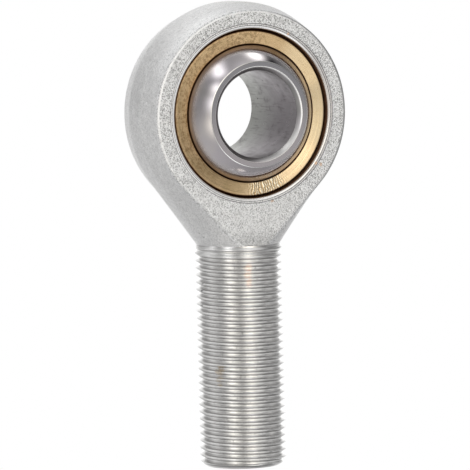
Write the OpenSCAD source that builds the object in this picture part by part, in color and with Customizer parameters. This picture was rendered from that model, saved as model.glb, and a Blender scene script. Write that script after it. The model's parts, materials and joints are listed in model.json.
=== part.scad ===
// Male rod end: a forged eye with a threaded shank, a brass race pressed into
// the eye and a bored steel ball that swivels in the race.
// Millimetres. The ball's centre is the origin, the bore runs along Z and the
// shank points along +X, so the part lies on its side.

/* [Ball] */
// Diameter of the sphere
ball_d = 31.75; // [29.8:0.05:33]
// Width of the ball between its two flat faces
ball_w = 23; // [20:0.5:24.5]
// Diameter of the bore for the bolt
bore_d = 18; // [12:0.5:19]
// Size of the 45 degree chamfer at each mouth of the bore
bore_chamfer = 0.8; // [0.2:0.1:1]

/* [Race] */
// Outside diameter of the race, which is also the seat in the eye
race_d = 35; // [34:0.1:36.4]
// Width of the race between its two faces
race_w = 14.6; // [12:0.2:16.4]
// Radial gap between the ball and the race
ball_play = 0.08; // [0.02:0.01:0.15]
// Edge break where each face of the race meets its spherical seat
race_break = 0.12; // [0.05:0.01:0.3]
// Radial depth of the lead at each outer edge of the race
race_lead = 0.75; // [0.3:0.05:1]
// Length of the lead at each outer edge of the race
race_lead_len = 2.4; // [1:0.1:4]

/* [Eye] */
// Largest diameter of the eye, on its central belt
eye_d = 46; // [44.5:0.5:50]
// Width of the eye between its two faces
eye_w = 16.5; // [15:0.5:17.5]
// Width of the straight belt round the middle of the rim
belt_w = 4.8; // [2:0.2:8]
// How far the drafted rim falls in from the belt before the rounded edge
rim_draft = 1.4; // [0.3:0.05:1.7]
// Radius of the rounded edge between the rim and each face
edge_r = 0.6; // [0.3:0.1:1]
// Radial width of the turned ring round each mouth of the race seat
seat_ring = 1; // [0.5:0.1:1.2]
// Depth of the turned ring below the face
seat_ring_depth = 0.4; // [0.2:0.1:0.6]

/* [Shank] */
// Major diameter of the thread
thread_d = 18; // [14:0.5:18.5]
// Pitch of the thread
thread_pitch = 1.5; // [1:0.25:2]
// Distance from the ball's centre to the end of the shank
shank_reach = 73.5; // [60:0.5:90]
// Distance from the ball's centre to the foot of the neck
neck_reach = 27.3; // [26:0.1:32]
// How far the foot of the neck lies under the crests of the thread
neck_undercut = 0.3; // [0:0.05:0.5]
// Length of the taper from the foot of the neck up to the first crest
neck_taper = 0.8; // [0.5:0.1:2]
// Size of the chamfer at the end of the shank
end_chamfer = 1.1; // [0.5:0.1:1.5]

/* [Hidden] */

ROUND_FN = 96;       // facets of a turned surface in a preview
EDGE_STEPS = 4;      // straight steps in the rounded edge of the eye
NECK_FN = 48;        // sides of the round shapes that the neck is hulled from
NECK_INSET = 0.02;   // keeps the hulled neck just inside the turned eye
FOOT_LAND = 0.5;     // length of the round land that the neck ends in
CUT = 1;             // overshoot of a cutting tool past the metal
RUNOUT_GROOVES = 2;  // grooves beside the neck that are not yet at full depth

bore_r = bore_d / 2;
ball_r = ball_d / 2;
race_r = race_d / 2;
eye_r = eye_d / 2;
thread_r = thread_d / 2;
rim_r = eye_r - rim_draft;
socket_r = ball_r + ball_play;
race_mouth_r = sqrt(pow(socket_r, 2) - pow(race_w / 2, 2));
neck_r = thread_r - neck_undercut;
thread_start = neck_reach + neck_taper;

// Metric thread form: 60 degree flanks, root flat P/6, depth 17/24 of a sharp thread
thread_depth = 17 / 24 * cos(30) * thread_pitch;
root_w = thread_pitch / 6;

// A half section, as radius and height, joined to its mirror image and turned
module turned(half, fn = ROUND_FN) {
    mirrored = [for (i = [len(half) - 1 : -1 : 0]) [half[i][0], -half[i][1]]];
    rotate_extrude($fn = fn) polygon(concat(half, mirrored));
}

// Section of the eye's rim from its mid plane up to the face and in to the axis
function rim_half(inset) = concat(
    [[eye_r - inset, belt_w / 2]],
    [for (i = [0 : EDGE_STEPS])
        let (a = 90 * i / EDGE_STEPS)
        [rim_r - inset - edge_r * (1 - cos(a)), eye_w / 2 - edge_r * (1 - sin(a))]],
    [[0, eye_w / 2]]
);

// Slab between the two faces of the eye, from the bore's axis to a given reach
module between_faces(reach) {
    translate([0, -eye_d / 2, -eye_w / 2]) cube([reach, eye_d, eye_w]);
}

// Wedge tangent to the eye's rim that narrows to the round foot of the neck
module neck() {
    intersection() {
        hull() {
            turned(rim_half(NECK_INSET), NECK_FN);
            intersection() {
                translate([neck_reach - FOOT_LAND, 0, 0]) rotate([0, 90, 0])
                    cylinder(r = neck_r, h = FOOT_LAND, $fn = NECK_FN);
                between_faces(neck_reach);
            }
        }
        between_faces(neck_reach);
    }
}

// Section of one thread groove of a given depth, cut inward from the crest
module groove(depth) {
    top_w = root_w + 2 * tan(30) * (depth + CUT);
    polygon([[CUT, -top_w / 2], [CUT, top_w / 2], [-depth, root_w / 2], [-depth, -root_w / 2]]);
}

// Half section of the shank along its axis: foot of the neck, thread and end chamfer
module shank_section() {
    grooves = floor((shank_reach - thread_start) / thread_pitch);
    difference() {
        polygon([
            [0, neck_reach - FOOT_LAND], [neck_r, neck_reach - FOOT_LAND], [neck_r, neck_reach],
            [thread_r, thread_start], [thread_r, shank_reach - end_chamfer],
            [thread_r - end_chamfer, shank_reach], [0, shank_reach]
        ]);
        for (i = [0 : grooves - 1])
            translate([thread_r, thread_start + thread_pitch * (i + 0.5)])
                groove(thread_depth * min(1, (i + 1) / (RUNOUT_GROOVES + 1)));
    }
}

// Shank from the foot of the neck, flush with the faces until the thread starts
module shank() {
    intersection() {
        rotate([90, 0, 90]) rotate_extrude($fn = ROUND_FN) shank_section();
        union() {
            between_faces(neck_reach);
            translate([neck_reach, -eye_r, -eye_r]) cube([shank_reach, eye_d, eye_d]);
        }
    }
}

// Seat for the race, with a shallow turned ring at each mouth
module race_seat() {
    turned([
        [race_r, eye_w / 2 - seat_ring_depth],
        [race_r + seat_ring, eye_w / 2],
        [race_r + seat_ring, eye_w / 2 + CUT],
        [0, eye_w / 2 + CUT]
    ]);
}

// Forged eye, neck and threaded shank, one piece of steel
module housing() {
    color("silver") difference() {
        union() {
            turned(rim_half(0));
            neck();
            shank();
        }
        race_seat();
    }
}

// Brass ring with a spherical seat and a lead at each outer edge
module race() {
    color("goldenrod") difference() {
        turned([
            [race_r, race_w / 2 - race_lead_len],
            [race_r - race_lead, race_w / 2],
            [race_mouth_r + race_break, race_w / 2],
            [race_mouth_r - race_break, race_w / 2 - race_break]
        ]);
        sphere(r = socket_r, $fn = ROUND_FN);
    }
}

// Steel ball with two flat faces and a chamfered bore
module ball() {
    color("slategray") difference() {
        intersection() {
            sphere(r = ball_r, $fn = ROUND_FN);
            cube([ball_d, ball_d, ball_w], center = true);
        }
        turned([
            [bore_r, ball_w / 2 - bore_chamfer],
            [bore_r + bore_chamfer + CUT, ball_w / 2 + CUT],
            [0, ball_w / 2 + CUT]
        ]);
    }
}

housing();
race();
ball();
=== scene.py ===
import json
import math

import bmesh
import bpy
import numpy as np
from mathutils import Matrix, Vector, noise


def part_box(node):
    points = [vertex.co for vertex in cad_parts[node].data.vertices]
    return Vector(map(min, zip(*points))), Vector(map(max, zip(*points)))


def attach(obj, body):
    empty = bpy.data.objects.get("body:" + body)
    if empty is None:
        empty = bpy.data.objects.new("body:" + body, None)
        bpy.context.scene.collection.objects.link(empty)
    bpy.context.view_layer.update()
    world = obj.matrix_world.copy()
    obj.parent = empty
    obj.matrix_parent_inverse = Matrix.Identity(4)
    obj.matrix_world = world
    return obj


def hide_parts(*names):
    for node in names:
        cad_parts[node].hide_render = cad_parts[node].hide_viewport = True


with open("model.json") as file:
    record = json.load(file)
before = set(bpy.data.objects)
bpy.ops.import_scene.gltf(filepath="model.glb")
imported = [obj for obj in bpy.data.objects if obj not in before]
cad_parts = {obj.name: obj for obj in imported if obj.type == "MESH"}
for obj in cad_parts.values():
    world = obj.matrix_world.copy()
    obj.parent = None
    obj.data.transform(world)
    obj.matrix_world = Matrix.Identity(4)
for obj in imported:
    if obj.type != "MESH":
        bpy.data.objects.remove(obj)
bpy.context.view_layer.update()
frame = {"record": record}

MM = 0.001

# Sizes, in millimetres
BALL_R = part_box("ball")[1].x / MM
BALL_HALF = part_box("ball")[1].z / MM
RACE_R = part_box("race")[1].x / MM
RACE_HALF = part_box("race")[1].z / MM
EYE_R = -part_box("housing")[0].x / MM
SHANK_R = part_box("housing")[1].z / MM
SHANK_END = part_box("housing")[1].x / MM
BORE_R = next(m for m in frame["record"]["mounts"] if m["name"] == "ball_bore")["dims"]["r_mm"]

EYE_HALF = 8.25        # half the eye's width between its faces
BELT_HALF = 2.4        # half the belt round the middle of the rim
RIM_DRAFT = 1.4        # how far the rim falls in from the belt to the rounded edge
EDGE_R = 0.6           # rounded edge between rim and face
BELT_BLEND = 0.25      # softness of the crease beside the belt
FORGE_SHIFT = 0.19     # the forged outline sits this far off the machined seat, towards the shank
FORGE_WAVE = 0.05      # unevenness of the forged rim
WAVES_PER_MM = (0.16, 0.16, 0.3)  # how fine the unevenness is along X, Y and Z
WAVE_FADE = 8.0        # it dies out over this length before the foot
RING_R = 18.5          # outer edge of the turned ring round the seat
RING_START = RING_R + 0.05   # where the ring's cut leaves the face
RING_LINE_R = RACE_R + 0.58  # tool line beside the ring's inner edge
FOOT_X = 27.3          # foot of the neck
FOOT_R = SHANK_R - 0.3
TAPER_LEN = 0.8        # from the foot of the neck to full crest height
END_CHAMFER = 1.1      # at the shank's end
PITCH = 1.5
GROOVE_X = 29.62       # a groove's middle on the shank's lower side
HAND = -1              # a left-hand thread
RUNOUT = 2.6           # length over which the first turns reach full depth
RUNOUT_EASE = 1.2      # power that shapes their growth
SPARE_TURNS = 2        # turns laid past each end of the thread and cut off there
THREAD_DEPTH = 0.92
FOOT_LINES = 0.8       # spacing of the tool lines at the foot of the neck
SOCKET_PLAY = 0.08     # between ball and race
RACE_BREAK = 0.14      # broken edge at the race's mouth
RACE_LEAD = 0.75       # how far the race's outer edge rounds inward
RACE_LEAD_LEN = 2.4    # and how far it does so along the bore
BORE_CHAMFER = 0.8
BALL_EDGE_DEG = 0.25   # the sphere stops this angle before the flat
RACE_MOUTH = math.sqrt((BALL_R + SOCKET_PLAY) ** 2 - RACE_HALF ** 2)  # where seat meets face

STAIN = (0.75, 0.42, 0.20, 1)
# Painted shade: dark brown for the narrow gaps round the race
GAP_SHADE = (0.08, 0.035, 0.018, 1)

# Small marks: a point on the surface and the mark's radius
RING_STAINS = [((-16.0, 8.6, 8.1), 0.35), ((11.0, 14.4, 8.1), 0.4)]
FACE_STAINS = [((11.4, 15.4, EYE_HALF), 0.5), ((18.2, 4.1, EYE_HALF), 0.45)]
THREAD_STAINS = [((53.2, -7.2, 4.7), 1.3), ((55.2, -7.3, 4.4), 0.8)]
# Painted warm reflection: copper spots where a bright band runs along the shank
WARM_BAND_TINTS = [((31.6, -1.7, 8.4), 1.2), ((33.2, -1.8, 8.4), 1.2), ((34.9, -1.7, 8.4), 1.1)]
THREAD_SPECKS = [
    ((36.6, -8.9, 0.8), 0.5), ((34.9, -8.9, 1.0), 0.45),
    ((39.8, -8.9, 0.6), 0.4), ((29.2, 7.2, 5.2), 0.5),
]
SIDE_SCUFFS = [((25.3, -9.5, 3.4), 0.35), ((24.4, -10.2, 3.0), 0.25)]
BORE_PITS = [((-1.8, 8.8, -7.3), 0.22), ((-6.0, 6.7, -0.3), 0.2)]
# Painted light and shade on the brass, lighter and darker patches by side: bearing, cosines where a patch
# starts and is full, share, colour
BRASS_LIGHT_AND_SHADE = [
    (-165, 0.5, 1.0, 0.42, (0.92, 0.65, 0.36, 1)),
    (34, 0.6, 1.0, 1.0, (0.72, 0.56, 0.36, 1)),
    (122, 0.85, 0.97, 1.0, (0.78, 0.61, 0.38, 1)),
    (86, 0.86, 0.97, 1.0, (0.54, 0.44, 0.29, 1)),
]
CHATTER_ANGLE = 12.0   # degrees from the shank's direction to the middle of the chatter
CHATTER_HALF = 20.0    # degrees from its middle to its ends
CHATTER_COUNT = 175.0  # chatter marks to a full turn
DISH_SLOPE = 0.18      # slope of the brass faces down to the ball

# How finely the shapes are cut
SEGMENTS = 256         # round the race and the ball
LINE_STEPS = 26        # along each straight side of the neck
ARC_POINTS = 176       # round the eye
CHORD_STEPS = 12       # across the face's edge at the foot
BELT_STEPS = 6         # up half the belt
DRAFT_STEPS = 14       # from the belt to the rounded edge
EDGE_ANGLES = (12, 24, 36, 48, 60, 72, 82, 90)  # degrees round that edge
FACE_STEPS = 7         # from the turned ring to the rim
SEAT_STEPS = 6         # from the lower mouth of the seat to the upper
END_SHARES = (1.0, 0.98, 0.9, 0.7, 0.4, 0.15)  # radii of the end face's rings
LEAD_STEPS = 10        # round the race's outer edge
RACE_FACE_STEPS = 5
SOCKET_STEPS = 8       # down half the race's seat
SPHERE_STEPS = 72
FLAT_STEPS = 3
BORE_STEPS = 16
MERGE = 2e-6           # metres; points closer than this become one
HOUSING_CREASE = 32    # degrees beyond which an edge of the housing stays sharp
TURNED_CREASE = 25     # the same for the turned pieces

FLOOR_SIZE = 8.0       # metres
FLOOR_GAP = 0.02       # keeps the floor clear of the ball's lower face

# The camera, fitted to the photograph
VIEW_AZIMUTH = -12.645
VIEW_ELEVATION = 63.856
VIEW_ROLL = -99.984
VIEW_AIM = (25.658, -0.662, 0.0)
VIEW_DISTANCE = 1040.15
LENS = 384.46
SENSOR = 36.0

LIGHT_LEVEL = 0.8
ROOM_LEVEL = 0.1
WHITE = (1.0, 1.0, 1.0)
CREAM = (1.04, 1.0, 0.91)
# Soft glowing panels round the room and one dark card, first fitted to the photograph by a
# program, then rounded and changed: azimuth, elevation and spread in degrees,
# brightness over the room's own level, and colour
PANELS = [
    (-19, 35, 9, 2.6, WHITE),
    (20, 38, 11, 1.9, CREAM),
    (-43, 25, 6, 2.1, WHITE),
    (-63, 11, 6, 2.2, WHITE),
    (-68, -1, 6, 1.6, WHITE),
    (-116, -4, 6, 3.5, WHITE),
    (-105, 30, 19, 1.25, WHITE),
    (-105, 80, 12, 3.1, CREAM),
    (99, 55, 9, 2.5, WHITE),
    (163, 56, 9, 1.2, WHITE),
    (161, 17, 16, 0.75, WHITE),
    (-19, -12, 6, 1.7, WHITE),
    (16, -29, 12, 0.7, WHITE),
    (-50, -23, 17, 0.9, WHITE),
    (-90, -31, 13, 1.7, WHITE),
    (173, -63, 26, 1.7, WHITE),
    (52, -2, 48, 0.65, WHITE),
    (-127, 3, 9, -0.55, WHITE),
]

# Half a thread form from crest to root: part of the pitch, part of the depth
THREAD_FORM = [
    (0.0, 0.0), (0.04, 0.01), (0.085, 0.075), (0.14, 0.21),
    (0.30, 0.68), (0.38, 0.91), (0.43, 0.985), (0.5, 1.0),
]


# Mesh helpers
class Shell:
    """Points and faces of one mesh, gathered from grids that meet at their edges."""

    def __init__(self):
        self.points = []
        self.faces = []
        self.regions = []

    def grid(self, rows, region, wrap=False):
        """Quads between rows of points, all in one material region or one per row."""
        rows = np.asarray(rows, float)
        count, width = rows.shape[:2]
        base = len(self.points)
        self.points.extend(map(tuple, rows.reshape(-1, 3) * MM))
        for i in range(count - 1):
            for j in range(width if wrap else width - 1):
                a = base + i * width + j
                b = base + i * width + (j + 1) % width
                self.faces.append((a, b, b + width, a + width))
                self.regions.append(region if isinstance(region, int) else region[i])

    def disc(self, ring, region):
        """One face over a closed ring of points."""
        base = len(self.points)
        self.points.extend(map(tuple, np.asarray(ring, float) * MM))
        self.faces.append(tuple(range(base, base + len(ring))))
        self.regions.append(region)

    def build(self, name, finishes, sharp_deg):
        """The object, with doubles joined, normals outward and sharp edges marked."""
        bm = bmesh.new()
        verts = [bm.verts.new(p) for p in self.points]
        for face, region in zip(self.faces, self.regions):
            bm.faces.new([verts[i] for i in face]).material_index = region
        bmesh.ops.remove_doubles(bm, verts=bm.verts, dist=MERGE)
        bmesh.ops.dissolve_degenerate(bm, edges=bm.edges, dist=MERGE)
        bmesh.ops.recalc_face_normals(bm, faces=bm.faces)
        for face in bm.faces:
            face.smooth = True
        for edge in bm.edges:
            edge.smooth = edge.calc_face_angle(0.0) < math.radians(sharp_deg)
        mesh = bpy.data.meshes.new(name)
        bm.to_mesh(mesh)
        bm.free()
        for finish in finishes:
            mesh.materials.append(finish)
        obj = bpy.data.objects.new(name, mesh)
        bpy.context.scene.collection.objects.link(obj)
        return obj


def circle(angles, radius, z):
    """Points at those angles on a circle about the bore."""
    return np.column_stack([radius * np.cos(angles), radius * np.sin(angles), np.full(len(angles), z)])


def turned(loop, regions):
    """A closed half section, as radius and height, turned about Z."""
    turn = np.linspace(0, 2 * math.pi, SEGMENTS, endpoint=False)
    shell = Shell()
    shell.grid([circle(turn, r, z) for r, z in list(loop) + [loop[0]]], regions, wrap=True)
    return shell


def spread(start, end, steps):
    """Evenly spaced numbers, ends included."""
    return list(np.linspace(start, end, steps + 1))


# Materials
class Finish:
    """A node material, with short ways to add and join its nodes."""

    def __init__(self, name, metallic, roughness):
        self.material = bpy.data.materials.new(name)
        self.material.use_nodes = True
        self.tree = self.material.node_tree
        self.bsdf = next(n for n in self.tree.nodes if n.type == "BSDF_PRINCIPLED")
        self.bsdf.inputs["Metallic"].default_value = metallic
        self.bsdf.inputs["Roughness"].default_value = roughness
        coord = self.tree.nodes.new("ShaderNodeTexCoord")
        self.place = coord.outputs["Object"]
        self.facing = coord.outputs["Normal"]

    def add(self, kind, **settings):
        node = self.tree.nodes.new(kind)
        for key, value in settings.items():
            setattr(node, key, value)
        return node

    def join(self, socket, value):
        """Links an output to a socket, or sets the socket to a constant."""
        if isinstance(value, bpy.types.NodeSocket):
            self.tree.links.new(value, socket)
        else:
            socket.default_value = value

    def math(self, operation, a, b=0.0):
        node = self.add("ShaderNodeMath", operation=operation)
        self.join(node.inputs[0], a)
        self.join(node.inputs[1], b)
        return node.outputs[0]

    def vector(self, operation, a, b=(0, 0, 0)):
        node = self.add("ShaderNodeVectorMath", operation=operation)
        self.join(node.inputs[0], a)
        self.join(node.inputs[1], b)
        return node.outputs["Value" if operation in ("LENGTH", "DISTANCE", "DOT_PRODUCT") else "Vector"]

    def split(self, vector):
        node = self.add("ShaderNodeSeparateXYZ")
        self.join(node.inputs[0], vector)
        return node.outputs

    def merge(self, x, y, z):
        node = self.add("ShaderNodeCombineXYZ")
        for socket, value in zip(node.inputs, (x, y, z)):
            self.join(socket, value)
        return node.outputs[0]

    def noise_at(self, place, detail, rough):
        """Noise over a place that is already scaled, from 0 to 1."""
        node = self.add("ShaderNodeTexNoise")
        node.inputs["Scale"].default_value = 1.0
        node.inputs["Detail"].default_value = detail
        node.inputs["Roughness"].default_value = rough
        self.join(node.inputs["Vector"], place)
        return node.outputs["Fac"]

    def noise(self, per_mm, detail, rough, skew=(1, 1, 1)):
        """Noise with that many features per millimetre, from 0 to 1."""
        scale = tuple(per_mm / MM * s for s in skew)
        return self.noise_at(self.vector("MULTIPLY", self.place, scale), detail, rough)

    def flecks(self, per_mm):
        """A random level for each small cell."""
        node = self.add("ShaderNodeTexVoronoi")
        node.inputs["Scale"].default_value = 1.0
        scale = (per_mm / MM,) * 3
        self.join(node.inputs["Vector"], self.vector("MULTIPLY", self.place, scale))
        return self.split(node.outputs["Color"])[0]

    def ramp(self, value, low, high, out_low=0.0, out_high=1.0):
        """value from low to high, smoothly mapped to the out values."""
        node = self.add("ShaderNodeMapRange", interpolation_type="SMOOTHSTEP")
        self.join(node.inputs["Value"], value)
        node.inputs["From Min"].default_value = low
        node.inputs["From Max"].default_value = high
        node.inputs["To Min"].default_value = out_low
        node.inputs["To Max"].default_value = out_high
        return node.outputs["Result"]

    def mix(self, factor, a, b):
        """Colour a where the factor is 0, b where it is 1."""
        node = self.add("ShaderNodeMix", data_type="RGBA")
        self.join(node.inputs[0], factor)
        self.join(node.inputs[6], a)
        self.join(node.inputs[7], b)
        return node.outputs[2]

    def bump(self, height, depth_mm, after=None):
        """The normal of a relief that deep, laid over an earlier one."""
        node = self.add("ShaderNodeBump")
        node.inputs["Strength"].default_value = 1.0
        node.inputs["Distance"].default_value = depth_mm * MM
        self.join(node.inputs["Height"], height)
        if after:
            self.join(node.inputs["Normal"], after)
        return node.outputs["Normal"]

    def about_z(self, around_per_turn, across_per_mm):
        """A seamless place for marks that run round the bore."""
        x, y, z = self.split(self.place)
        flat = self.vector("NORMALIZE", self.merge(x, y, 0.0))
        radius = self.vector("LENGTH", self.merge(x, y, 0.0))
        c, s, _ = self.split(flat)
        k = around_per_turn / (2 * math.pi)
        return self.merge(
            self.math("MULTIPLY", c, k), self.math("MULTIPLY", s, k),
            self.math("MULTIPLY", self.math("ADD", radius, z), across_per_mm / MM),
        )

    def about_x(self, around_per_turn, across_per_mm):
        """A seamless place for marks that run round the shank."""
        x, y, z = self.split(self.place)
        flat = self.vector("NORMALIZE", self.merge(0.0, y, z))
        _, c, s = self.split(flat)
        k = around_per_turn / (2 * math.pi)
        return self.merge(
            self.math("MULTIPLY", c, k), self.math("MULTIPLY", s, k),
            self.math("MULTIPLY", x, across_per_mm / MM),
        )

    def radius(self):
        """Distance from the bore's axis, in millimetres."""
        x, y, _ = self.split(self.place)
        return self.math("DIVIDE", self.vector("LENGTH", self.merge(x, y, 0.0)), MM)

    def shank_radius(self):
        """Distance from the shank's axis, in millimetres."""
        _, y, z = self.split(self.place)
        return self.math("DIVIDE", self.vector("LENGTH", self.merge(0.0, y, z)), MM)

    def along(self, axis):
        """Position along X, Y or Z, in millimetres."""
        return self.math("DIVIDE", self.split(self.place)[axis], MM)

    def height(self):
        """Distance from the part's mid plane, in millimetres."""
        return self.math("ABSOLUTE", self.along(2))

    def towards(self, degrees):
        """Cosine of the angle about the bore from a bearing, counted from +X towards +Y."""
        x, y, _ = self.split(self.place)
        bearing = (math.cos(math.radians(degrees)), math.sin(math.radians(degrees)), 0.0)
        return self.vector("DOT_PRODUCT", self.vector("NORMALIZE", self.merge(x, y, 0.0)), bearing)

    def band(self, value, middle, half):
        """1 where the value is at the middle, falling to 0 at half a width on each side."""
        off = self.math("ABSOLUTE", self.math("SUBTRACT", value, middle))
        return self.ramp(off, half, half * 0.3)

    def spot(self, centre, size):
        """1 inside a small ragged blot round a point in millimetres, 0 outside."""
        away = self.vector("SUBTRACT", self.place, tuple(c * MM for c in centre))
        distance = self.math("DIVIDE", self.vector("LENGTH", away), MM)
        ragged = self.math("MULTIPLY", self.math("SUBTRACT", self.noise(2.5, 3.0, 0.65), 0.5), size * 2.4)
        return self.ramp(self.math("ADD", distance, ragged), size, size * 0.35)

    def colour(self, value):
        self.join(self.bsdf.inputs["Base Color"], value)

    def roughness(self, value):
        self.join(self.bsdf.inputs["Roughness"], value)

    def normal(self, value):
        self.join(self.bsdf.inputs["Normal"], value)


def grey(level, warmth=0.0):
    """A near neutral colour; warmth shifts it from blue to red."""
    return (level * (1 + warmth), level, level * (1 - 1.3 * warmth), 1.0)


def blasted_face():
    """Coarse shot-blasted and plated skin of the flat faces, speckled light and dark."""
    f = Finish("forged_face", 1.0, 0.42)
    facets = f.flecks(7.0)
    grain = f.noise(8.0, 1.0, 0.6)
    patch = f.noise(0.3, 2.0, 0.5)
    f.normal(f.bump(f.math("ADD", grain, f.math("MULTIPLY", facets, 0.5)), 0.07))
    base = f.mix(f.ramp(facets, 0.08, 0.58), grey(0.30, -0.002), grey(1.0, -0.004))
    base = f.mix(f.ramp(grain, 0.27, 0.34), grey(0.25, 0.0), base)
    near_foot = f.ramp(f.along(0), FOOT_X - 4.0, FOOT_X - 1.0)
    rough_end = f.math("MULTIPLY", near_foot, f.ramp(grain, 0.52, 0.44))
    # Painted light: the face lighter towards the shank
    base = f.mix(f.ramp(f.towards(-5), 0.6, 0.98, 0.0, 0.22), base, grey(1.0, 0.0))
    base = f.mix(f.math("MULTIPLY", rough_end, 0.7), base, grey(0.16, 0.01))
    base = f.mix(f.ramp(patch, 0.3, 0.7, 0.0, 0.12), base, grey(0.60, 0.02))
    for centre, size in FACE_STAINS:
        base = f.mix(f.math("MULTIPLY", f.spot(centre, size), 0.55), base, STAIN)
    f.colour(base)
    f.roughness(f.ramp(facets, 0.0, 1.0, 0.34, 0.50))
    return f.material


def plated_side():
    """Smoother plated skin of the rim and the neck's sides, with painted highlight lines along the rounded
    edge.
    """
    f = Finish("forged_side", 1.0, 0.5)
    grain = f.noise(6.0, 2.0, 0.65)
    cloud = f.noise(0.5, 4.0, 0.6)
    strokes = f.noise(1.1, 3.0, 0.6, skew=(0.35, 1.0, 1.0))
    facets = f.flecks(6.5)
    f.normal(f.bump(f.math("ADD", grain, cloud), 0.07))
    base = f.mix(f.ramp(cloud, 0.3, 0.7), grey(0.80, 0.002), grey(0.92, 0.002))
    base = f.mix(f.ramp(grain, 0.58, 0.36), base, grey(0.62, 0.003))
    base = f.mix(f.ramp(strokes, 0.66, 0.74, 0.0, 0.6), base, grey(0.45, 0.004))
    scratches = f.noise(1.6, 4.0, 0.75, skew=(1.0, 1.0, 1.8))
    base = f.mix(f.ramp(scratches, 0.54, 0.68, 0.0, 0.7), base, grey(0.50, 0.0))
    base = f.mix(f.ramp(scratches, 0.46, 0.32, 0.0, 0.7), base, grey(1.0, 0.0))
    # Painted glints: bright speckles on the upper rim, on the side towards -137 degrees
    below_edge = f.ramp(f.height(), EYE_HALF - 4.5, EYE_HALF - 1.8)
    streak = f.math("MULTIPLY", f.ramp(f.towards(-137), 0.78, 0.97), below_edge)
    sparkle = f.mix(f.ramp(facets, 0.15, 0.5), grey(0.62, 0.0), grey(1.0, 0.0))
    base = f.mix(f.math("MULTIPLY", streak, 0.8), base, sparkle)
    edge = f.ramp(f.height(), EYE_HALF - EDGE_R - 0.1, EYE_HALF - EDGE_R + 0.1)
    rolled = f.mix(f.ramp(facets, 0.1, 0.7), grey(0.46, 0.0), grey(0.92, 0.0))
    # Painted shade: the rounded edge darker on the +Y side
    rolled = f.mix(f.ramp(f.towards(100), 0.3, 0.9, 0.0, 0.75), rolled, grey(0.22, 0.0))
    base = f.mix(edge, base, rolled)
    # Painted highlight: two bright lines along the rounded edge, strongest on the -X and -Y side, broken
    # up by noise
    for middle in (EYE_HALF - EDGE_R + 0.02, EYE_HALF - 0.02):
        edge_highlight = f.math("MULTIPLY", f.band(f.height(), middle, 0.12), f.ramp(cloud, 0.25, 0.5))
        edge_highlight = f.math("MULTIPLY", edge_highlight, f.ramp(f.towards(-150), -0.2, 0.7, 0.15, 1.0))
        base = f.mix(edge_highlight, base, grey(1.0, 0.0))
    for centre, size in SIDE_SCUFFS:
        base = f.mix(f.math("MULTIPLY", f.spot(centre, size), 0.6), base, grey(0.25, 0.01))
    f.colour(base)
    f.roughness(f.ramp(cloud, 0.3, 0.7, 0.42, 0.52))
    return f.material


def turned_ring():
    """Bright turned ring round each mouth of the seat, with a few tool lines darkened as painted shade."""
    f = Finish("turned_ring", 1.0, 0.25)
    marks = f.noise_at(f.about_z(3.0, 9.0), 2.0, 0.6)
    specks = f.noise(4.0, 2.0, 0.6)
    f.normal(f.bump(marks, 0.012))
    base = f.mix(f.ramp(marks, 0.3, 0.6), grey(0.56, 0.012), grey(0.80, 0.01))
    # Painted highlight: a light band along the ring's inner edge
    inner = f.ramp(f.radius(), RACE_R + 0.62, RACE_R + 0.48)
    base = f.mix(inner, f.mix(f.ramp(specks, 0.35, 0.6), grey(0.50, 0.0), base), grey(0.88, 0.0))
    # Painted shade on the +Y side of the ring and painted light on the side towards -60 degrees
    base = f.mix(f.ramp(f.towards(88), 0.2, 0.95, 0.0, 0.75), base, (0.51, 0.485, 0.47, 1))
    base = f.mix(f.ramp(f.towards(-60), 0.75, 1.0, 0.0, 0.6), base, grey(0.95, 0.0))
    # Painted shade in the grooves of the tool lines
    for radius, depth in ((RING_R - 0.02, 1.0), (RING_LINE_R, 0.95)):
        line = f.band(f.radius(), radius, 0.13)
        line = f.math("MULTIPLY", line, f.ramp(specks, 0.3, 0.55, depth, depth * 0.5))
        base = f.mix(line, base, (0.07, 0.075, 0.10, 1))
    for centre, size in RING_STAINS:
        base = f.mix(f.math("MULTIPLY", f.spot(centre, size), 0.6), base, STAIN)
    f.colour(base)
    return f.material


def dark_seat():
    """Wall of the seat, with painted shade: dark brown down in the gap beside the race, light steel above.
    """
    f = Finish("seat_wall", 0.5, 0.5)
    stain = f.noise(1.2, 3.0, 0.6)
    # Painted shade for the gap: two dark browns mottled by noise
    shade_colour = f.mix(stain, GAP_SHADE, (0.26, 0.14, 0.075, 1))
    f.colour(f.mix(f.ramp(f.height(), RACE_HALF + 0.40, RACE_HALF + 0.65), shade_colour, grey(0.85, 0.01)))
    return f.material


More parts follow.
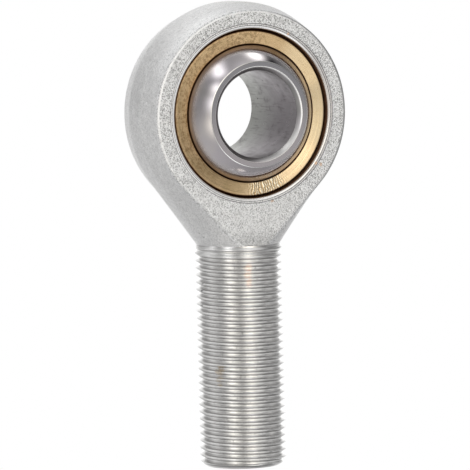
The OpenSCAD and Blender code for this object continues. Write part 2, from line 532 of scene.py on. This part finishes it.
def cut_thread():
    """Bright thread with tool marks round the shank and dark lines at its foot."""
    f = Finish("thread_steel", 1.0, 0.26)
    marks = f.noise_at(f.about_x(24.0, 5.0), 2.0, 0.6)
    speck = f.noise(2.4, 3.0, 0.65)
    f.normal(f.bump(marks, 0.004))
    base = f.mix(f.ramp(marks, 0.3, 0.7), grey(0.70, 0.004), grey(0.86, 0.010))
    lines = f.ramp(f.math("SINE", f.math("MULTIPLY", f.along(0), 2 * math.pi / FOOT_LINES)), 0.5, 0.95)
    lines = f.math("MULTIPLY", lines, f.band(f.along(0), FOOT_X + 1.0, 1.3))
    base = f.mix(f.math("MULTIPLY", lines, 0.55), base, grey(0.25, 0.02))
    base = f.mix(f.ramp(speck, 0.30, 0.38), grey(0.42, 0.02), base)
    # Painted shade on the flanks that face +X, towards the root
    lean = f.split(f.facing)[0]
    near_root = f.band(f.shank_radius(), SHANK_R - 0.55, 0.32)
    flank_shade = f.math("MULTIPLY", f.ramp(lean, 0.3, 0.7), near_root)
    base = f.mix(f.math("MULTIPLY", flank_shade, 0.72), base, grey(0.24, 0.01))
    # Painted highlight on the flanks that face -X
    base = f.mix(f.ramp(lean, -0.3, -0.7, 0.0, 0.4), base, grey(0.95, 0.008))
    for centre, size in THREAD_STAINS:
        base = f.mix(f.math("MULTIPLY", f.spot(centre, size), 0.4), base, (0.60, 0.44, 0.22, 1))
    # Painted warm reflection in the bright band
    for centre, size in WARM_BAND_TINTS:
        base = f.mix(f.math("MULTIPLY", f.spot(centre, size), 0.35), base, (0.95, 0.74, 0.60, 1))
    for centre, size in THREAD_SPECKS:
        base = f.mix(f.math("MULTIPLY", f.spot(centre, size), 0.8), base, grey(0.05, 0.0))
    f.colour(base)
    return f.material


def brass():
    """Turned brass, slightly dished, with tarnish, tool chatter on one side, painted light and shade, and
    painted shade at its edges.
    """
    f = Finish("brass", 1.0, 0.3)
    marks = f.noise_at(f.about_z(6.0, 8.0), 2.0, 0.6)
    grain = f.noise(3.5, 2.0, 0.6)
    tarnish = f.noise(0.5, 3.0, 0.6)
    x, y, _ = f.split(f.place)
    angle = f.math("ARCTAN2", y, x)
    uneven = f.math("ADD", angle, f.math("MULTIPLY", tarnish, 0.12))
    wave = f.math("SINE", f.math("MULTIPLY", uneven, CHATTER_COUNT))
    near = f.band(angle, math.radians(CHATTER_ANGLE), math.radians(CHATTER_HALF))
    chatter = f.math("MULTIPLY", wave, f.math("MULTIPLY", near, f.ramp(grain, 0.3, 0.5)))
    dish = f.math("MULTIPLY", f.radius(), DISH_SLOPE)
    relief = f.math("ADD", dish, f.math("MULTIPLY", chatter, 0.03))
    f.normal(f.bump(relief, 1.0, after=f.bump(f.math("ADD", marks, grain), 0.015)))
    base = f.mix(f.ramp(tarnish, 0.3, 0.7), (0.50, 0.365, 0.20, 1), (0.61, 0.445, 0.26, 1))
    # Painted light and shade on the brass by side
    for bearing, start, full, share, lit_colour in BRASS_LIGHT_AND_SHADE:
        base = f.mix(f.ramp(f.towards(bearing), start, full, 0.0, share), base, lit_colour)
    base = f.mix(f.ramp(grain, 0.3, 0.48, 0.3, 0.0), base, (0.40, 0.26, 0.12, 1))
    # Mottled tarnish with painted shade, darkening the side towards -115 degrees
    mottle_and_shade = f.ramp(f.noise(1.7, 3.0, 0.8), 0.56, 0.38)
    mottle_and_shade = f.math("MULTIPLY", mottle_and_shade, f.ramp(f.towards(-115), -0.1, 0.45, 0.0, 0.62))
    base = f.mix(mottle_and_shade, base, (0.22, 0.125, 0.05, 1))
    # Chatter marks, with painted highlights on their ridges and painted shade between them
    base = f.mix(f.ramp(chatter, 0.0, 0.9, 0.0, 0.8), base, (1.0, 0.95, 0.78, 1))
    base = f.mix(f.ramp(chatter, 0.0, -0.9, 0.0, 0.6), base, (0.40, 0.25, 0.10, 1))
    # Painted shade along the outer and inner edges, where the race meets the housing and the ball
    outer = f.ramp(f.radius(), RACE_R - RACE_LEAD - 0.10, RACE_R - RACE_LEAD + 0.32)
    inner = f.ramp(f.radius(), RACE_MOUTH + 0.28, RACE_MOUTH + 0.14)
    edge_shade = f.mix(f.noise(0.8, 2.0, 0.5), GAP_SHADE, (0.22, 0.11, 0.05, 1))
    f.colour(f.mix(f.math("MAXIMUM", outer, inner), base, edge_shade))
    f.roughness(f.ramp(marks, 0.3, 0.7, 0.24, 0.38))
    return f.material


def polished_ball():
    """Polished hard steel with a faint stain, a painted reflection of the brass and a painted shade line
    beside the race.
    """
    f = Finish("ball_polish", 1.0, 0.14)
    tint = f.noise(0.12, 3.0, 0.6)
    smear = f.noise(0.7, 3.0, 0.6)
    base = f.mix(f.ramp(tint, 0.35, 0.65), (0.59, 0.555, 0.58, 1), (0.63, 0.595, 0.585, 1))
    # Painted reflection of the brass race: a brown band beside it, lighter towards +Y
    reach = f.math("ADD", f.height(), f.math("MULTIPLY", smear, 0.8))
    brass_reflection = f.ramp(reach, RACE_HALF + 2.7, RACE_HALF + 0.5)
    brass_reflection = f.math("MULTIPLY", brass_reflection, f.ramp(f.height(), RACE_HALF - 2.0, RACE_HALF))
    reflected_brass = f.mix(f.ramp(f.towards(78), 0.6, 0.95), (0.44, 0.32, 0.235, 1), (0.78, 0.58, 0.44, 1))
    base = f.mix(f.math("MULTIPLY", brass_reflection, 0.7), base, reflected_brass)
    # Painted shade: a dark line where the ball meets the race
    line = f.ramp(f.height(), RACE_HALF + 0.3, RACE_HALF + 0.05)
    line = f.math("MULTIPLY", line, f.ramp(f.height(), RACE_HALF - 0.7, RACE_HALF - 0.4))
    base = f.mix(line, base, (0.05, 0.025, 0.012, 1))
    f.colour(base)
    f.roughness(f.math("ADD", f.ramp(smear, 0.3, 0.7, 0.09, 0.14), f.math("MULTIPLY", brass_reflection, 0.24)))
    return f.material


def ground_flat():
    """Ground flat faces of the ball."""
    f = Finish("ball_flat", 1.0, 0.24)
    marks = f.noise_at(f.about_z(5.0, 10.0), 2.0, 0.6)
    f.normal(f.bump(marks, 0.006))
    base = f.mix(f.ramp(marks, 0.3, 0.7), (0.215, 0.212, 0.228, 1), (0.255, 0.25, 0.265, 1))
    # Painted light: the flats lighter towards +X
    f.colour(f.mix(f.ramp(f.towards(0), -0.4, 0.7, 0.0, 0.8), base, (0.355, 0.33, 0.345, 1)))
    return f.material


def edge_polish():
    """Bright broken edge between the sphere and the flats."""
    f = Finish("ball_edge", 1.0, 0.2)
    wear = f.noise(0.8, 2.0, 0.5)
    f.colour(f.mix(wear, grey(0.55, 0.01), grey(0.68, 0.005)))
    return f.material


def chamfer_cut():
    """Turned chamfers at the mouths of the bore."""
    f = Finish("ball_chamfer", 1.0, 0.34)
    marks = f.noise_at(f.about_z(4.0, 10.0), 2.0, 0.6)
    base = f.mix(f.ramp(marks, 0.3, 0.7), (0.46, 0.44, 0.45, 1), (0.58, 0.56, 0.57, 1))
    # Painted light on the side towards 35 degrees and painted shade on the side towards 110 degrees
    base = f.mix(f.ramp(f.towards(35), 0.75, 0.97), base, grey(0.68, 0.01))
    base = f.mix(f.ramp(f.towards(110), 0.85, 0.97, 0.0, 0.9), base, grey(0.33, 0.005))
    # Painted highlight: a bright line along the chamfer's outer edge, on the side towards 140 degrees
    line = f.ramp(f.radius(), BORE_R + BORE_CHAMFER - 0.22, BORE_R + BORE_CHAMFER - 0.08)
    line = f.math("MULTIPLY", line, f.ramp(f.towards(140), 0.2, 0.6))
    f.colour(f.mix(line, base, grey(1.0)))
    return f.material


def turned_end():
    """Turned end face of the shank."""
    f = Finish("shank_end", 1.0, 0.34)
    marks = f.noise(1.0, 3.0, 0.6)
    radial = f.noise_at(f.about_x(3.0, 0.5), 2.0, 0.6)
    f.normal(f.bump(marks, 0.01))
    f.colour(f.mix(f.ramp(f.math("ADD", marks, radial), 0.8, 1.2), grey(0.55, 0.01), grey(0.68, 0.01)))
    return f.material


def lapped_bore():
    """Lapped wall of the bore, with rubbed streaks along it, smudges and two small pits."""
    f = Finish("ball_bore", 1.0, 0.33)
    streaks = f.noise_at(f.about_z(160.0, 0.25), 3.0, 0.6)
    smudge = f.noise(0.4, 4.0, 0.65)
    f.normal(f.bump(streaks, 0.006))
    # Painted light: the wall lighter towards its lower mouth and darker towards the upper
    deep = f.ramp(f.math("ADD", f.along(2), f.math("MULTIPLY", smudge, 6.0)), -8.0, 8.0)
    base = f.mix(deep, (0.46, 0.465, 0.44, 1), (0.30, 0.275, 0.29, 1))
    base = f.mix(f.ramp(streaks, 0.30, 0.48, 0.5, 0.0), base, (0.17, 0.15, 0.155, 1))
    base = f.mix(f.ramp(smudge, 0.58, 0.68, 0.0, 0.55), base, (0.18, 0.165, 0.17, 1))
    for centre, size in BORE_PITS:
        base = f.mix(f.spot(centre, size), base, (0.02, 0.02, 0.02, 1))
    f.colour(base)
    f.roughness(f.ramp(smudge, 0.3, 0.7, 0.26, 0.42))
    return f.material


# Shapes
FACE, SIDE, RING, SEAT, THREAD, END = range(6)
BALL_SPHERE, BALL_EDGE, BALL_FLAT, BALL_CHAMFER, BALL_BORE = range(5)


def rim_radius(z):
    """Radius of the forged rim at a height, with the belt's crease softened."""
    a = abs(z)
    top = EYE_HALF - EDGE_R
    past = a - BELT_HALF
    eased = (past + math.hypot(past, BELT_BLEND)) / 2
    radius = EYE_R - RIM_DRAFT * min(eased, top - BELT_HALF) / (top - BELT_HALF)
    if a > top:
        radius -= EDGE_R - math.sqrt(max(EDGE_R ** 2 - (a - top) ** 2, 0.0))
    return radius


def rim_levels():
    """Heights at which the rim is cut, from the lower face to the upper."""
    top = EYE_HALF - EDGE_R
    edge = [top + EDGE_R * math.sin(math.radians(a)) for a in EDGE_ANGLES]
    half = spread(0.0, BELT_HALF, BELT_STEPS) + spread(BELT_HALF, top, DRAFT_STEPS)[1:] + edge
    return [-z for z in half[:0:-1]] + half


def outline(z):
    """Outline of the eye and neck at a height, from the foot's +Y side round to -Y."""
    radius, shift = rim_radius(z), FORGE_SHIFT
    foot_y = math.sqrt(max(FOOT_R ** 2 - z ** 2, 0.0))
    reach = FOOT_X - shift
    touch = math.atan2(foot_y, reach) + math.acos(radius / math.hypot(reach, foot_y))
    start = np.array([FOOT_X, foot_y])
    tangent = np.array([shift + radius * math.cos(touch), radius * math.sin(touch)])
    line = [start + (tangent - start) * t for t in np.linspace(0, 1, LINE_STEPS, endpoint=False)]
    arc = [
        np.array([shift + radius * math.cos(a), radius * math.sin(a)])
        for a in np.linspace(touch, 2 * math.pi - touch, ARC_POINTS)
    ]
    back = [p * (1, -1) for p in reversed(line)]
    return np.array(line + arc + back)


def waved(points, z):
    """The outline with a forging's slight unevenness, always inward and none at the foot."""
    out = []
    for x, y in points:
        fade = min(1.0, max(0.0, (FOOT_X - x) / WAVE_FADE))
        wave = (noise.noise(Vector((x, y, z)) * Vector(WAVES_PER_MM)) + 1) / 2
        out.append((x, y) - np.array((x - FORGE_SHIFT, y)) / math.hypot(x, y) * FORGE_WAVE * fade * wave)
    return np.array(out)


def ring_section():
    """The turned ring from the face in to the seat: radius, depth below the face."""
    return [
        (RING_START, 0.0), (RING_R - 0.03, 0.07), (RING_R - 0.10, 0.05),
        (RING_LINE_R + 0.04, 0.09), (RING_LINE_R, 0.13), (RING_LINE_R - 0.04, 0.12),
        (RACE_R + 0.20, 0.17), (RACE_R + 0.08, 0.23), (RACE_R, 0.36),
    ]


def foot_chord():
    """Interior points of the face's edge at the foot, from the -Y side to +Y."""
    limit = math.asin(math.sqrt(FOOT_R ** 2 - EYE_HALF ** 2) / FOOT_R)
    return [FOOT_R * math.sin(a) for a in spread(-limit, limit, CHORD_STEPS)[1:-1]]


def thread_radius(x, part):
    """Radius of the shank at x, where part says how deep in the thread form it is."""
    crest = FOOT_R + (SHANK_R - FOOT_R) * min(1.0, max(0.0, (x - FOOT_X) / TAPER_LEN))
    depth = min(1.0, max(0.0, (x - FOOT_X) / RUNOUT)) ** RUNOUT_EASE
    cone = SHANK_R - max(0.0, x - (SHANK_END - END_CHAMFER))
    return min(crest - THREAD_DEPTH * part * depth, cone)


def thread_rows(angles):
    """Rows of the left-hand thread, sheared so that each row follows the helix."""
    form = THREAD_FORM + [(1 - c, d) for c, d in THREAD_FORM[-2:0:-1]]
    first = int((FOOT_X - GROOVE_X) // PITCH) - SPARE_TURNS
    last = int((SHANK_END - GROOVE_X) // PITCH) + SPARE_TURNS + 1
    rows = []
    for turn in range(first, last):
        for share, part in form:
            row = []
            for a in angles:
                x = GROOVE_X + PITCH * (turn + 0.5 + share + HAND * a / (2 * math.pi))
                x = min(max(x, FOOT_X), SHANK_END)
                r = thread_radius(x, part)
                row.append((x, r * math.sin(a), -r * math.cos(a)))
            rows.append(row)
    return rows


def foot_angles(levels, chord):
    """Angles about the shank that meet the wall's foot and both chords, over one full turn."""
    side = [math.atan2(math.sqrt(FOOT_R ** 2 - z ** 2), -z) for z in levels]
    over = [math.pi - math.asin(y / FOOT_R) for y in reversed(chord)]
    back = [2 * math.pi - a for a in reversed(side)]
    under = [2 * math.pi + math.asin(y / FOOT_R) for y in chord]
    return side + over + back + under + [side[0] + 2 * math.pi]


def around(loop):
    """Unwrapped angle of each point of a loop about the bore."""
    return np.unwrap(np.arctan2(loop[:, 1], loop[:, 0]))


def make_housing():
    """Forged eye, neck and helical thread as one closed mesh."""
    shell = Shell()
    levels = rim_levels()
    chord = foot_chord()
    chord_points = [(FOOT_X, y) for y in chord]
    walls = [waved(outline(z), z) for z in levels]
    shell.grid([np.column_stack([w, np.full(len(w), z)]) for w, z in zip(walls, levels)], SIDE)
    mouths = []
    for side, wall in ((-1, walls[0]), (1, walls[-1])):
        loop = np.vstack([wall, chord_points])
        angles = around(loop)
        inner = circle(angles, RING_START, 0.0)[:, :2]
        rows = [inner * (1 - t) + loop * t for t in spread(0, 1, FACE_STEPS)]
        shell.grid([np.column_stack([r, np.full(len(r), side * EYE_HALF)]) for r in rows], FACE, wrap=True)
        ring = [circle(angles, r, side * (EYE_HALF - d)) for r, d in ring_section()]
        shell.grid(ring, RING, wrap=True)
        mouths.append((angles, ring[-1][0][2]))
        ledge = [wall[-1][1]] + chord + [wall[0][1]]
        flat = [(FOOT_X, y, side * EYE_HALF) for y in ledge]
        round_ = [(FOOT_X, y, side * math.sqrt(FOOT_R ** 2 - y ** 2)) for y in ledge]
        shell.grid([flat, round_], SIDE)
    (low, z_low), (high, z_high) = mouths
    seat = [
        circle(low * (1 - t) + high * t, RACE_R, z_low * (1 - t) + z_high * t)
        for t in spread(0, 1, SEAT_STEPS)
    ]
    shell.grid(seat, SEAT, wrap=True)
    rows = thread_rows(foot_angles(levels, chord))
    shell.grid(rows, THREAD)
    rim = np.array(rows[-1][:-1])
    caps = [rim * (1, t, t) for t in END_SHARES]
    shell.grid(caps, END, wrap=True)
    shell.disc(caps[-1], END)
    return shell


def make_race():
    """Race turned from its section, with a broken inner edge and a rounded lead outside."""
    socket = BALL_R + SOCKET_PLAY
    lip_z = RACE_HALF - RACE_BREAK
    lip_r = math.sqrt(socket ** 2 - lip_z ** 2)
    mouth = RACE_MOUTH + RACE_BREAK
    face_out = RACE_R - RACE_LEAD
    half = [
        (face_out + RACE_LEAD * math.cos(a), RACE_HALF - RACE_LEAD_LEN * (1 - math.sin(a)))
        for a in np.radians(spread(0, 90, LEAD_STEPS))
    ]
    half += [(r, RACE_HALF) for r in spread(face_out - 0.3, mouth + 0.1, RACE_FACE_STEPS)]
    half += [(mouth, RACE_HALF - 0.01), (lip_r + 0.03, lip_z + 0.03)]
    half += [(math.sqrt(socket ** 2 - z ** 2), z) for z in spread(lip_z, 0.0, SOCKET_STEPS)]
    loop = half + [(r, -z) for r, z in reversed(half[:-1])]
    return turned(loop, 0)


def make_ball():
    """Ball turned from its section: sphere, flats, chamfers and bore, each its own region."""
    flat_r = math.sqrt(BALL_R ** 2 - BALL_HALF ** 2)
    rise = math.degrees(math.asin(BALL_HALF / BALL_R)) - BALL_EDGE_DEG
    turn = np.radians(spread(-rise, rise, SPHERE_STEPS))
    arc = [(BALL_R * math.cos(a), BALL_R * math.sin(a)) for a in turn]
    mouth = BORE_R + BORE_CHAMFER
    top = [(flat_r - 0.03, BALL_HALF - 0.02), (flat_r - 0.10, BALL_HALF)]
    top += [(r, BALL_HALF) for r in spread(flat_r - 0.3, mouth + 0.1, FLAT_STEPS)]
    top += [(mouth + 0.01, BALL_HALF - 0.01), (BORE_R + 0.03, BALL_HALF - BORE_CHAMFER + 0.02)]
    wall = BALL_HALF - BORE_CHAMFER - 0.04
    bore = [(BORE_R, z) for z in spread(wall, -wall, BORE_STEPS)]
    loop = arc + top + bore + [(r, -z) for r, z in reversed(top)]
    ends = [BALL_EDGE] * 2 + [BALL_FLAT] * (FLAT_STEPS + 1) + [BALL_CHAMFER] * 3
    regions = [BALL_SPHERE] * SPHERE_STEPS + ends + [BALL_BORE] * BORE_STEPS + ends[::-1]
    return turned(loop, regions)


# Stage, lights and camera
def emitter(name, colour, strength):
    """A plain glowing material for the floor."""
    material = bpy.data.materials.new(name)
    material.use_nodes = True
    tree = material.node_tree
    tree.nodes.clear()
    glow = tree.nodes.new("ShaderNodeEmission")
    glow.inputs["Color"].default_value = colour
    glow.inputs["Strength"].default_value = strength
    out = tree.nodes.new("ShaderNodeOutputMaterial")
    tree.links.new(glow.outputs[0], out.inputs["Surface"])
    return material


def make_floor():
    """A white light table, level with the ball's lower face."""
    mesh = bpy.data.meshes.new("floor")
    half = FLOOR_SIZE / 2
    z = -(BALL_HALF + FLOOR_GAP) * MM
    corners = [(-half, -half, z), (half, -half, z), (half, half, z), (-half, half, z)]
    mesh.from_pydata(corners, [], [(0, 1, 2, 3)])
    mesh.materials.append(emitter("light_table", (1, 1, 1, 1), 1.0))
    floor = bpy.data.objects.new("floor", mesh)
    bpy.context.scene.collection.objects.link(floor)
    floor.visible_glossy = False
    floor.visible_diffuse = False
    floor.visible_shadow = False


def direction(azimuth, elevation):
    a, e = math.radians(azimuth), math.radians(elevation)
    return Vector((math.sin(a) * math.cos(e), -math.cos(a) * math.cos(e), math.sin(e)))


def make_world():
    """A pale backdrop for the camera; for the light, a dim room with soft glowing panels round it."""
    world = bpy.data.worlds.new("studio")
    world.use_nodes = True
    tree = world.node_tree
    tree.nodes.clear()
    link = tree.links.new

    def math_node(operation, a, b):
        node = tree.nodes.new("ShaderNodeMath")
        node.operation = operation
        for socket, value in zip(node.inputs, (a, b)):
            if isinstance(value, bpy.types.NodeSocket):
                link(value, socket)
            else:
                socket.default_value = value
        return node.outputs[0]

    ray = tree.nodes.new("ShaderNodeTexCoord").outputs["Generated"]
    light = (ROOM_LEVEL,) * 3
    for azimuth, elevation, spread_deg, level, colour in PANELS:
        dot = tree.nodes.new("ShaderNodeVectorMath")
        dot.operation = "DOT_PRODUCT"
        link(ray, dot.inputs[0])
        dot.inputs[1].default_value = direction(azimuth, elevation)
        width = math.radians(spread_deg) ** 2
        off = math_node("DIVIDE", math_node("SUBTRACT", dot.outputs["Value"], 1.0), width)
        glow = tree.nodes.new("ShaderNodeVectorMath")
        glow.operation = "MULTIPLY_ADD"
        link(math_node("EXPONENT", off, 0.0), glow.inputs[0])
        glow.inputs[1].default_value = [level * c for c in colour]
        if isinstance(light, tuple):
            glow.inputs[2].default_value = light
        else:
            link(light, glow.inputs[2])
        light = glow.outputs["Vector"]
    room = tree.nodes.new("ShaderNodeBackground")
    link(light, room.inputs["Color"])
    room.inputs["Strength"].default_value = LIGHT_LEVEL
    seen = tree.nodes.new("ShaderNodeBackground")
    seen.inputs["Color"].default_value = (1, 1, 1, 1)
    blend = tree.nodes.new("ShaderNodeMixShader")
    path = tree.nodes.new("ShaderNodeLightPath")
    out = tree.nodes.new("ShaderNodeOutputWorld")
    link(path.outputs["Is Camera Ray"], blend.inputs[0])
    link(room.outputs[0], blend.inputs[1])
    link(seen.outputs[0], blend.inputs[2])
    link(blend.outputs[0], out.inputs["Surface"])
    bpy.context.scene.world = world


def make_camera():
    """The photograph's view: high on the -Y side, rolled so that the shank points down."""
    lens = bpy.data.cameras.new("camera")
    lens.lens, lens.sensor_width = LENS, SENSOR
    lens.clip_start, lens.clip_end = 0.05, 20.0
    camera = bpy.data.objects.new("camera", lens)
    bpy.context.scene.collection.objects.link(camera)
    back = direction(VIEW_AZIMUTH, VIEW_ELEVATION)
    level_up = (Vector((0, 0, 1)) - back * back.z).normalized()
    level_right = level_up.cross(back)
    roll = math.radians(VIEW_ROLL)
    up = level_up * math.cos(roll) + level_right * math.sin(roll)
    right = up.cross(back)
    camera.location = Vector(VIEW_AIM) * MM + back * VIEW_DISTANCE * MM
    camera.rotation_mode = "QUATERNION"
    camera.rotation_quaternion = Matrix((right, up, back)).transposed().to_quaternion()
    bpy.context.scene.camera = camera


# Assembly
def place(obj, node, body, slot):
    """The piece stands for a CAD node and rides on its body; the slot is not used."""
    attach(obj, body)
    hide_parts(node)


make_camera()
make_floor()
make_world()

steel = [blasted_face(), plated_side(), turned_ring(), dark_seat(), cut_thread(), turned_end()]
place(make_housing().build("eye_and_shank", steel, HOUSING_CREASE), "housing", "rod_end", "housing")
place(make_race().build("brass_race", [brass()], TURNED_CREASE), "race", "rod_end", "race")
ball_steel = [polished_ball(), edge_polish(), ground_flat(), chamfer_cut(), lapped_bore()]
place(make_ball().build("swivel_ball", ball_steel, TURNED_CREASE), "ball", "ball", "ball")

bpy.context.scene.view_settings.view_transform = "Standard"
bpy.context.view_layer.update()
